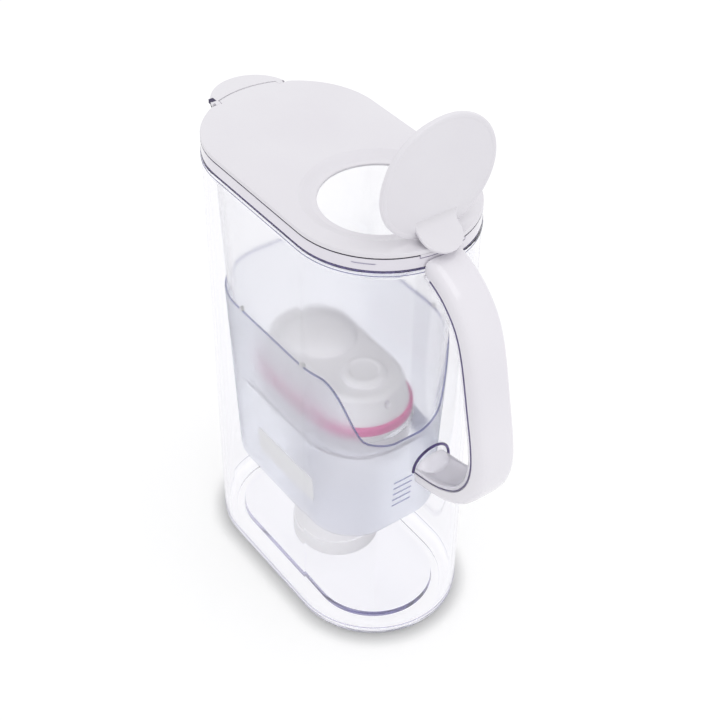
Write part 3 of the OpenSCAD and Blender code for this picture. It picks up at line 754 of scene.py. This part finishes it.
def tab_shape():
    """Thumb tab: a rounded tongue that peels off the disc's outer face."""
    steps, length, lift = 40, 21.20, math.radians(66)
    path = [(0.0, 0.0, 0.0)]
    for k in range(steps):
        t = min(1.0, (k + 0.5) / steps * length / 9.0)
        angle = lift * t * t * (3 - 2 * t)
        d = length / steps
        path.append((path[-1][0] + d * math.cos(angle), path[-1][1] + d * math.sin(angle), angle))
    tip_x, tip_z = HOLE_X + DISC_R - 9 + 8.2, DISC_Z + DISC_T - 0.4 + 16.0
    root_x, root_z = tip_x - path[-1][0], tip_z - path[-1][1]
    rings = []
    for side, inset in ((0.0, 0.8), (0.3, 0.2), (1.1, 0.0), (1.9, 0.2), (2.2, 0.8)):
        ring = []
        half = 12.5 - inset
        tip = length - inset
        outline = [(0.0, -half - 1.5), (3.0, -half - 0.6), (6.0, -half)]
        outline += [(tip - half + half * math.cos(math.radians(a)), half * math.sin(math.radians(a)))
                    for a in range(-90, 91, 9)]
        outline += [(6.0, half), (3.0, half + 0.6), (0.0, half + 1.5)]
        rows = []
        for (u0, y0), (u1, y1) in zip(outline, outline[1:]):
            rows += [(u0 + (u1 - u0) * k / 3, y0 + (y1 - y0) * k / 3) for k in range(3)]
        rows.append(outline[-1])
        for u, y in rows:
            at = max(0.0, min(steps - 1e-6, u / length * steps))
            k = int(at)
            (ax, az, aa), (bx, bz, ba) = path[k], path[k + 1]
            f = at - k
            angle = aa + (ba - aa) * f
            ring.append((root_x + ax + (bx - ax) * f + math.sin(angle) * side, y,
                         root_z + az + (bz - az) * f - math.cos(angle) * side))
        rings.append(ring)
    return loft(rings)


piece("thumb_tab", swing(tab_shape()), WHITE, "flip_lid", "white_plastic", angle=40)

liner = loft(circles(HOLE_X, [
    (31.8, DISC_Z + 0.02), (32.2, DISC_Z - 0.4), (32.2, DISC_Z - 2.4), (31.8, DISC_Z - 3), (30.8, DISC_Z - 3),
    (30.4, DISC_Z - 2.6), (30.4, DISC_Z - 0.9), (30.0, DISC_Z - 0.4), (20, DISC_Z - 0.4),
]))
piece("plug_ring", swing(liner), WHITE, "flip_lid", "white_plastic", replaces=("flip_liner",), angle=40)


# Pour flap
def flap_shape():
    rows = [(24.4, 290.4), (24.8, 290.55), (24.98, 291), (24.98, 292.3), (24.8, 292.75), (24.3, 293)]
    return loft([circle(SPOUT_X, r, z + FLAP_RISE) for r, z in rows])


flap = to_object("pour_flap_leaf", flap_shape())
combine(flap, "DIFFERENCE", oval_block(53.6, 280, 300), box_shape(SPOUT_X, 100, -60, 60, 280, 300))
for side in (1, -1):
    y0, y1 = sorted((side * 19.5, side * 22.5))
    lug = [(-91.5, 291.8), (-91.5, 294.4)] + turn(*FLAP_HINGE, 1.3, 90, -90, 8)
    join_into(flap, to_object("lug", extrude_y(lug, y0, y1)))
    pin_ends = sorted((side * 15.5, side * 20))
    join_into(flap, to_object("flap_pin", loft([upright(*FLAP_HINGE, 0.9, y, 20) for y in pin_ends])))
# A dark block under the flap's corner is painted shade in the gap there
piece("flap_socket", box_shape(-94.0, -90.0, -23.2, -20.2, 292.0, 294.5), PAINTED_GAP_SHADE, "pour_flap", "white_plastic",
      bevel=0.15, angle=40)
finish_piece(flap, WHITE, "pour_flap", "white_plastic", replaces=("spout_flap",), angle=30)


# Filter cartridge
def cartridge_shape():
    """Round body that widens into the oval head with its flange."""
    rings = circles(0, [(26, 13.6), (26, 22), (26, 110.4), (26.4, 110.9)])
    rings += ovals([(27.6, 111), (28.5, 111.5), (28.8, 112.4), (28.8, 136.8), (30.4, 137), (30.6, 137.3),
                    (30.6, 138.4), (30.3, 138.7), (28.8, 138.7), (28.8, 144.9), (27, 144.9)], SEAL_HALF)
    return loft(rings)


piece("cartridge_shell", cartridge_shape(), CARTRIDGE, "cartridge", "cartridge_plastic",
      replaces=("cartridge_body",), angle=35)

foot = loft(circles(0, [
    (20, 11.5), (26.4, 11.5), (27, 11.8), (27.2, 12.4), (27.2, 22.6), (26.9, 23.3), (26.1, 23.5), (26.02, 23.5),
]))
piece("cartridge_foot_ring", foot, CARTRIDGE, "cartridge", "cartridge_plastic", replaces=("cartridge_foot",),
      angle=35)

seal = loft(ovals([
    (28.85, 138.8), (30.2, 138.8), (30.8, 139.3), (31, 140.4), (30.7, 141.2), (30.7, 142), (31, 142.8),
    (30.8, 144.2), (30.2, 144.8), (28.85, 144.8),
], SEAL_HALF), closed=True)
piece("seal_ring", seal, SEAL, "cartridge", "seal_rubber", replaces=("cartridge_seal",), angle=40)


def cap_shape():
    top = 162.9
    rows = [(28.6, 144.95), (28.7, 145.4), (27.9, 149), (26.4, 154.5), (25.4, 157.6)]
    rows += turn(21.0, 158.4, 4.5, 10, 90, 7)
    rows += [(14, top), (6, top)]
    return loft(ovals(rows, SEAL_HALF))


def cap_hole():
    """Small upright hole in the cap's end towards the handle."""
    rings = []
    for x in (44.5, 56.5):
        ring = []
        for degrees in range(0, 360, 20):
            a = math.radians(degrees)
            ring.append((x, 2 * math.cos(a), 156 + 2.6 * math.sin(a)))
        rings.append(ring)
    return loft(rings)


cap = to_object("cartridge_cap_shell", cap_shape())
combine(cap, "DIFFERENCE", cap_hole())
finish_piece(cap, CARTRIDGE, "cartridge", "cartridge_plastic", replaces=("cartridge_cap",), angle=35)

button = loft(circles(27, [
    (13.6, 162.2), (13.5, 164.4), (13.1, 165.4), (12.2, 166.3), (10.8, 166.8), (9.6, 166.9), (9.0, 166.6),
    (8.4, 166.1), (4, 165.9),
]))
piece("cap_button", button, CARTRIDGE, "cartridge", "cartridge_plastic", angle=35)
dome = [(21.2, 162.4), (21, 163.4)]
for a in range(8, 84, 7):
    dome.append((21 * math.cos(math.radians(a)), 163 + 8.9 * math.sin(math.radians(a))))
piece("cap_dome", loft(circles(-16, dome)), CARTRIDGE, "cartridge", "cartridge_plastic", angle=35)

# The pin and the insides of the cartridge are the CAD's own nodes
paint_node("flip_hinge_pin", STEEL)
for name in ("inlet_screen", "bed_divider", "outlet_screen"):
    paint_node(name, SCREEN)
paint_node("carbon_bed", CARBON)
paint_node("resin_bed", RESIN)


# Camera, floor and light
def camera():
    """Stands where a fit to the photo's outlines puts it."""
    data = bpy.data.cameras.new("camera")
    data.sensor_width = 36.0
    data.sensor_fit = "HORIZONTAL"
    data.lens = 72.9055
    data.clip_start = 0.01
    data.clip_end = 20.0
    cam = bpy.data.objects.new("camera", data)
    right = Vector((0.58904861, 0.80801683, 0.01142504))
    up = Vector((-0.5292052, 0.3750316, 0.7611131))
    back = Vector((0.61070745, -0.4543788, 0.64851855))
    turned = Matrix((right, up, back)).transposed().to_4x4()
    cam.matrix_world = Matrix.Translation(Vector((541.125, -385.578, 719.938)) * MM) @ turned
    bpy.context.scene.collection.objects.link(cam)
    bpy.context.scene.camera = cam


def math_node(nodes, links, operation, *values):
    node = nodes.new("ShaderNodeMath")
    node.operation = operation
    for socket, value in zip(node.inputs, values):
        if isinstance(value, float):
            socket.default_value = value
        else:
            links.new(value, socket)
    return node.outputs[0]


def white_background(nodes, links):
    """1 for rays from the camera, off gloss and through clear plastic."""
    path = nodes.new("ShaderNodeLightPath")
    first = math_node(nodes, links, "MAXIMUM", path.outputs["Is Camera Ray"], path.outputs["Is Glossy Ray"])
    return math_node(nodes, links, "MAXIMUM", first, path.outputs["Is Transmission Ray"])


def add_shaders(nodes, links, first, second):
    both = nodes.new("ShaderNodeAddShader")
    links.new(first.outputs[0], both.inputs[0])
    links.new(second.outputs[0], both.inputs[1])
    return both


def mix_shaders(nodes, links, share, first, second):
    mix = nodes.new("ShaderNodeMixShader")
    links.new(share, mix.inputs["Fac"])
    links.new(first.outputs[0], mix.inputs[1])
    links.new(second.outputs[0], mix.inputs[2])
    return mix


# Floor, in metres: half its side, and how far it lies below the foot
FLOOR_HALF = 8
FLOOR_DROP = 0.0002
# Painted shadow round the foot: where it starts and ends, and how much of the floor's own white is left at its
# start
SHADE_FROM = 0.048
SHADE_TO = 0.066
SHADE_LOW = 0.4
OWN_WHITE = 0.69


def floor():
    """White floor: part of its colour takes real shadows, the rest is its own white, with a painted shadow
    round the foot and, seen through the clear walls, painted light under it.
    """
    mesh = bpy.data.meshes.new("floor")
    h = FLOOR_HALF
    mesh.from_pydata([(-h, -h, 0), (h, -h, 0), (h, h, 0), (-h, h, 0)], [], [(0, 1, 2, 3)])
    obj = bpy.data.objects.new("floor", mesh)
    obj.location.z = -FLOOR_DROP
    bpy.context.scene.collection.objects.link(obj)
    mat, nodes, links, shader = node_material("floor")
    nodes.remove(shader)

    # Distance from the middle line of the jug's oval
    place = nodes.new("ShaderNodeTexCoord")
    split = nodes.new("ShaderNodeSeparateXYZ")
    links.new(place.outputs["Object"], split.inputs[0])
    away = math_node(nodes, links, "ABSOLUTE", split.outputs["X"])
    away = math_node(nodes, links, "SUBTRACT", away, STRAIGHT * MM)
    away = math_node(nodes, links, "MAXIMUM", away, 0.0)
    away = math_node(nodes, links, "POWER", away, 2.0)
    across = math_node(nodes, links, "POWER", math_node(nodes, links, "ABSOLUTE", split.outputs["Y"]), 2.0)
    reach = math_node(nodes, links, "SQRT", math_node(nodes, links, "ADD", away, across))
    # Mask that is low at the foot: it paints the shadow round the foot and the light seen under it through the
    # clear walls
    painted_foot_mask = nodes.new("ShaderNodeMapRange")
    painted_foot_mask.interpolation_type = "SMOOTHERSTEP"
    painted_foot_mask.inputs["From Min"].default_value = SHADE_FROM
    painted_foot_mask.inputs["From Max"].default_value = SHADE_TO
    painted_foot_mask.inputs["To Min"].default_value = SHADE_LOW
    painted_foot_mask.inputs["To Max"].default_value = 1.0
    links.new(reach, painted_foot_mask.inputs["Value"])

    # What lights the object, what is seen past it, and what is seen through its clear walls
    diffuse = nodes.new("ShaderNodeBsdfDiffuse")
    diffuse.inputs["Color"].default_value = (0.97, 0.97, 0.975, 1)
    plain = nodes.new("ShaderNodeBsdfDiffuse")
    plain.inputs["Color"].default_value = (0.36, 0.36, 0.363, 1)
    # The floor's own white is dimmed round the foot: a painted shadow
    glow = nodes.new("ShaderNodeEmission")
    links.new(math_node(nodes, links, "MULTIPLY", painted_foot_mask.outputs[0], OWN_WHITE), glow.inputs["Strength"])
    # Seen through the clear walls, the floor's white is raised under and round the foot: painted light
    through = nodes.new("ShaderNodeEmission")
    less = math_node(nodes, links, "MULTIPLY", painted_foot_mask.outputs[0], 0.35)
    links.new(math_node(nodes, links, "SUBTRACT", 1.04, less), through.inputs["Strength"])
    past = add_shaders(nodes, links, plain, glow)
    shaded = add_shaders(nodes, links, plain, through)
    choose = mix_shaders(nodes, links, white_background(nodes, links), diffuse, past)
    path = nodes.new("ShaderNodeLightPath")
    pick = mix_shaders(nodes, links, path.outputs["Is Transmission Ray"], choose, shaded)
    links.new(pick.outputs[0], nodes["Material Output"].inputs["Surface"])
    mesh.materials.append(mat)


WORLD_LIGHT = 0.91


def world():
    """Even white all round, a little weaker as a light than as a background."""
    w = bpy.data.worlds.new("studio")
    bpy.context.scene.world = w
    w.use_nodes = True
    nodes, links = w.node_tree.nodes, w.node_tree.links
    nodes.clear()
    out = nodes.new("ShaderNodeOutputWorld")
    light = nodes.new("ShaderNodeBackground")
    light.inputs["Color"].default_value = (0.99, 0.99, 1.0, 1)
    light.inputs["Strength"].default_value = WORLD_LIGHT
    seen = nodes.new("ShaderNodeBackground")
    seen.inputs["Color"].default_value = (1, 1, 1, 1)
    seen.inputs["Strength"].default_value = 1.0
    mix = mix_shaders(nodes, links, white_background(nodes, links), light, seen)
    links.new(mix.outputs[0], out.inputs["Surface"])


def lamp(name, place, aim, size, power, lit=None):
    """Soft lamp; with a list of objects it lights only these, and passes through the walls and the lid."""
    data = bpy.data.lights.new(name, "AREA")
    data.shape = "SQUARE"
    data.size = size
    data.energy = power
    obj = bpy.data.objects.new(name, data)
    obj.location = place
    obj.rotation_mode = "QUATERNION"
    obj.rotation_quaternion = (Vector(aim) - Vector(place)).to_track_quat("-Z", "Y")
    bpy.context.scene.collection.objects.link(obj)
    if lit:
        group = bpy.data.collections.new(name)
        for other in lit:
            group.objects.link(other)
        obj.light_linking.receiver_collection = group
        obj.light_linking.blocker_collection = group


camera()
floor()
world()
lamp("key", (1.0, 0.2, 2.8), (0, 0, 0.15), 1.8, 13.0)
INNER = ("cartridge_", "cap_", "seal_", "label_", "handle_lining")
inside = [o for o in bpy.data.objects if o.name.startswith(INNER)]
lamp("through", (1.0, -1.7, 1.9), (0, 0, 0.12), 1.6, 22.0, inside)

scene = bpy.context.scene
scene.view_settings.view_transform = "Standard"
# A ray crosses many clear faces and is mirrored between them
BOUNCES = 96
scene.cycles.max_bounces = BOUNCES
scene.cycles.transmission_bounces = BOUNCES
scene.cycles.glossy_bounces = BOUNCES
scene.cycles.diffuse_bounces = 16
scene.cycles.sample_clamp_indirect = 4.0
scene.cycles.use_denoising = True

bpy.context.view_layer.update()
